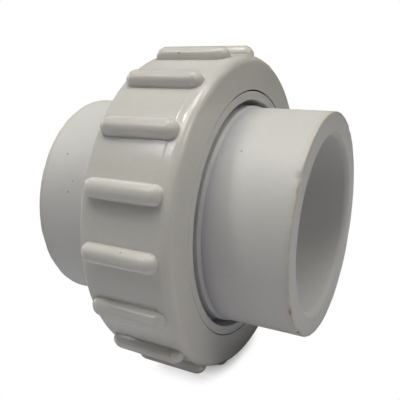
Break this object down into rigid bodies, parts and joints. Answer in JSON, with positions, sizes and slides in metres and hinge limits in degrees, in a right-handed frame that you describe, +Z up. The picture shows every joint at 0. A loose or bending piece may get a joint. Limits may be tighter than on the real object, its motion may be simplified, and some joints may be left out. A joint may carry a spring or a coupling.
{
  "type": "pipe union",
  "caption": "Plastic pipe union with two glue-in sockets, a sealing ring between their faces and a ribbed nut that screws the halves together.",
  "frame": {"origin": "on the pipe axis, in the middle of the union's length", "axes": "X along the pipe axis, +X out of the tailpiece's socket, -X out of the threaded end's socket; +Z up, with the union lying on two neighbouring ribs of the nut"},
  "size_m": [0.074, 0.0944, 0.093],
  "materials": {
    "socket_plastic": "satin white moulded pvc",
    "nut_plastic": "glossy white moulded pvc",
    "seal_rubber": "black epdm"
  },
  "bodies": {
    "threaded_end": {"threaded_end": "socket_plastic", "sealing_ring": "seal_rubber"},
    "tailpiece": {"tailpiece": "socket_plastic"},
    "nut": {"union_nut": "nut_plastic"}
  },
  "joints": [
    {"name": "tailpiece_slide", "type": "slide", "parent": "threaded_end", "child": "tailpiece", "axis": [1, 0, 0], "range_m": [0, 0.012]},
    {"name": "nut_turn", "type": "hinge", "parent": "tailpiece", "child": "nut", "pos_m": [0.011, 0, 0], "axis": [1, 0, 0], "range_deg": [0, 1080]}
  ],
  "couplings": [
    {"joint": "tailpiece_slide", "follows": "nut_turn", "m_per_rad": 0.00063662}
  ]
}
